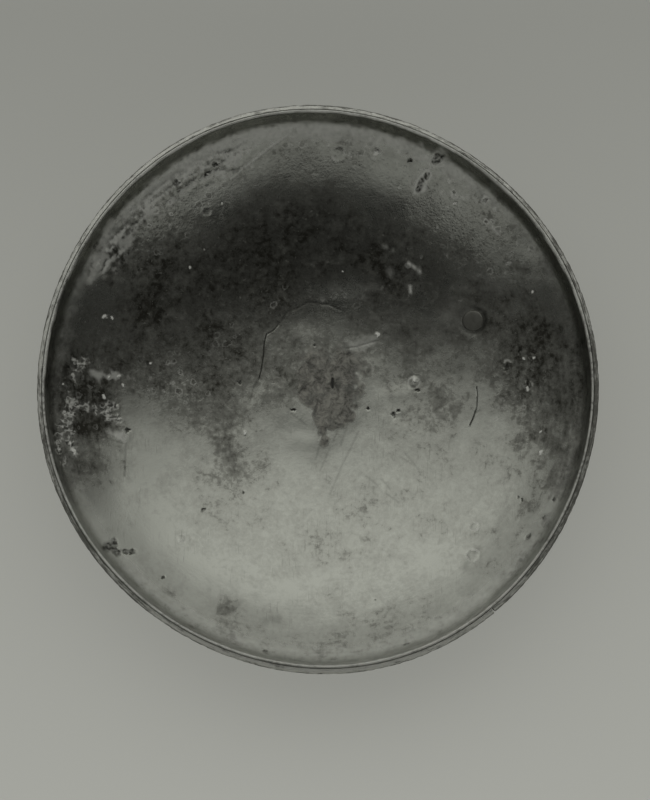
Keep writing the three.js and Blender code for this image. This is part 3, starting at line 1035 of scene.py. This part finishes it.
def corroded_strip_silver():
    """Soldered edge strip: grey and furred, with long scuffs along it and dark pits, and with
    painted shade on its crown below a painted pale top edge.
    """
    material, tree, place = begin("corroded_strip_silver")

    # Around the rim the scuffs are about 5 mm long, and across the strip 0.6 mm apart.
    scuffs, _ = round_streaks(place, 86, 5, 0.6, 4.0, sink=1.0)
    fur, slow = clouds(place, 1.4, 6.0, 0.65), clouds(place, 9, 3.0, 0.5)
    # The stored shift brings painted shade and a painted pale top edge as well as wear.
    depth = tally(fur, (scuffs, 1.6), (slow, 0.8), (stored(tree, "wear_and_shade"), 1.0))
    worn_and_lit = ramp(depth, 1.45, 1.9)
    plug(tree.nodes["Principled BSDF"], {
        "Base Color": painted("#62625a", (worn_and_lit, "#c3c4ba")),
        "Metallic": ramp(worn_and_lit, 0, 1, 0.2, 0.4), "Roughness": ramp(worn_and_lit, 0, 1, 0.6, 0.45),
        "Normal": bumps(tally(fur, (scuffs, 1.0)), 0.15)})
    return material


strip.data.materials.append(corroded_strip_silver())
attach(strip, "root")
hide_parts("rim_band")

# The rivet: a plug of silver through a hole in the wall, its two heads hammered down
# flat on the sheet, the inner one smoothed off with a narrow bevel.

shank_radius = 2.0
inner_head = 3.4
outer_head = 3.1
rivet_turns = 64
rivet_section = [
    (0, 0.52), (0.8, 0.52), (1.6, 0.51), (2.3, 0.49), (2.8, 0.46), (3.0, 0.42), (3.15, 0.34),
    (3.3, 0.2), (inner_head, 0.04), (inner_head, -0.04), (2.7, -0.02), (shank_radius, 0.0),
    (shank_radius, -sheet), (outer_head, -sheet), (outer_head, -sheet - 0.2),
    (2.8, -sheet - 0.5), (2.3, -sheet - 0.72), (1.4, -sheet - 0.86), (0.7, -sheet - 0.9),
    (0, -sheet - 0.9),
]


def rivet_mesh():
    """The rivet turned about its own axis, out of round, and set square to the wall."""
    points = []
    turn = np.arange(rivet_turns) * 2 * np.pi / rivet_turns
    for away, up in rivet_section:
        u, v = away * np.cos(turn), away * np.sin(turn)
        free = away > shank_radius
        uneven = 1 + free * (0.025 * np.cos(2 * turn + 0.6) + 0.03 * noise(u + 9, v, 2.4, 121))
        peened = 0.02 * noise(u + 40, v, 1.9, 122) * (1 if up > 0.3 or up < -sheet - 0.3 else 0)
        u, v, w = u * uneven, v * uneven, up + peened
        x = rivet_radius + u * math.cos(rivet_slope) - w * math.sin(rivet_slope)
        z = rivet_height + u * math.sin(rivet_slope) + w * math.cos(rivet_slope)
        angle = rivet_angle + np.arctan2(v, x)
        points.append(hammered(np.hypot(x, v), z, angle))
    return np.concatenate(points) * mm, lattice(len(rivet_section), rivet_turns)


rivet = make_piece("hammered_rivet", *rivet_mesh())
weld(rivet, 0.001)


def hammered_rivet_silver():
    """Hammered silver, smoother and paler than the sheet, with a little tarnish."""
    material, tree, place = begin("hammered_rivet_silver")
    mottle = clouds(place, 1.8, 5.0)
    plug(tree.nodes["Principled BSDF"], {
        "Base Color": painted("#54544d", (mottle, "#73736b")), "Metallic": 0.75,
        "Roughness": ramp(mottle, 0, 1, 0.48, 0.4), "Normal": bumps(mottle, 0.06)})
    return material


rivet.data.materials.append(hammered_rivet_silver())
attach(rivet, "root")
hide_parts("plug_rivet")

# The camera looks down from almost straight above through a long lens.
camera_tilt = math.radians(6.5)
camera_distance = 1200.0
camera = bpy.data.cameras.new("camera")
camera.sensor_fit = "VERTICAL"
camera.sensor_height = 24.0
camera.lens = 118.45
eye = bpy.data.objects.new("camera", camera)
bpy.context.scene.collection.objects.link(eye)
aim = Vector((2.14, -3.79, 28.57))
back = Vector((0, -math.sin(camera_tilt), math.cos(camera_tilt)))
eye.location = (aim + camera_distance * back) * mm
eye.rotation_euler = (camera_tilt, 0, 0)
bpy.context.scene.camera = eye

# The floor under the bowl is plain, pale and dull. Part of its tone is kept from the shadows,
# and this glow is painted stronger towards the near side (-Y).
bpy.ops.mesh.primitive_plane_add(size=20.0)
table = bpy.context.object
table.name = "table"
matt_board, tree, place = begin("pale_matt_board")
rays = add(tree, "LightPath").outputs
seen = reckon("MAXIMUM", rays["Is Camera Ray"], rays["Is Glossy Ray"])
seen = reckon("MAXIMUM", seen, rays["Is Transmission Ray"])
# Painted light: the floor's glow grows from the far side to the near side.
north = add(tree, "SeparateXYZ", {0: place}).outputs[1]
plug(tree.nodes["Principled BSDF"], {
    "Base Color": linear("#8c8d86"), "Roughness": 0.9, "Emission Color": linear("#cfd0c8"),
    "Emission Strength": times(seen, ramp(north, 0.12, -0.13, 0.235, 0.42))})
table.data.materials.append(matt_board)

# The room: one great soft window beyond the top of the picture, from near overhead down
# to a third of the way up, a wall below it that is dimmer but pale near the floor, and a
# pale wall behind, to half way up. `high` is the sine of how far up a way goes.
world = bpy.data.worlds.new("room")
world.use_nodes = True
room = world.node_tree
way = add(room, "TexCoord").outputs["Generated"]
east, north, high = add(room, "SeparateXYZ", {0: way}).outputs


def step(value, low, high_edge, bottom=0.0, top=1.0):
    """A soft step of the room's light as a value goes from low to high."""
    return ramp(value, low, high_edge, bottom, top, interpolation_type="SMOOTHSTEP")


# How squarely a way faces the window: 1 straight at it, and about 0 overhead.
sideways = reckon("MULTIPLY_ADD", east, east, 0.11)
spread = reckon("SQRT", reckon("MULTIPLY_ADD", north, north, sideways))
skewed = reckon("MULTIPLY_ADD", east, -0.08, north)
facing = reckon("DIVIDE", skewed, spread)
across = step(facing, -0.35, 0.95)
window = times(across, step(high, 0.50, 0.56, 0.62, 1.0))
window = times(window, step(high, 0.22, 0.14, 1.0, 1.9))
off_side = times(step(facing, 0.6, 0.2), step(high, 0.64, 0.44))
window = times(times(window, reckon("MULTIPLY_ADD", off_side, -0.5, 1.0)), 0.97)
behind = times(step(times(north, -1.0), 0.2, 0.56, 0.0, 0.37), step(high, 0.745, 0.665))
whole = reckon("ADD", reckon("ADD", window, behind), 0.025)
room.links.new(whole, room.nodes["Background"].inputs["Color"])
bpy.context.scene.world = world
bpy.context.scene.view_settings.view_transform = "Standard"
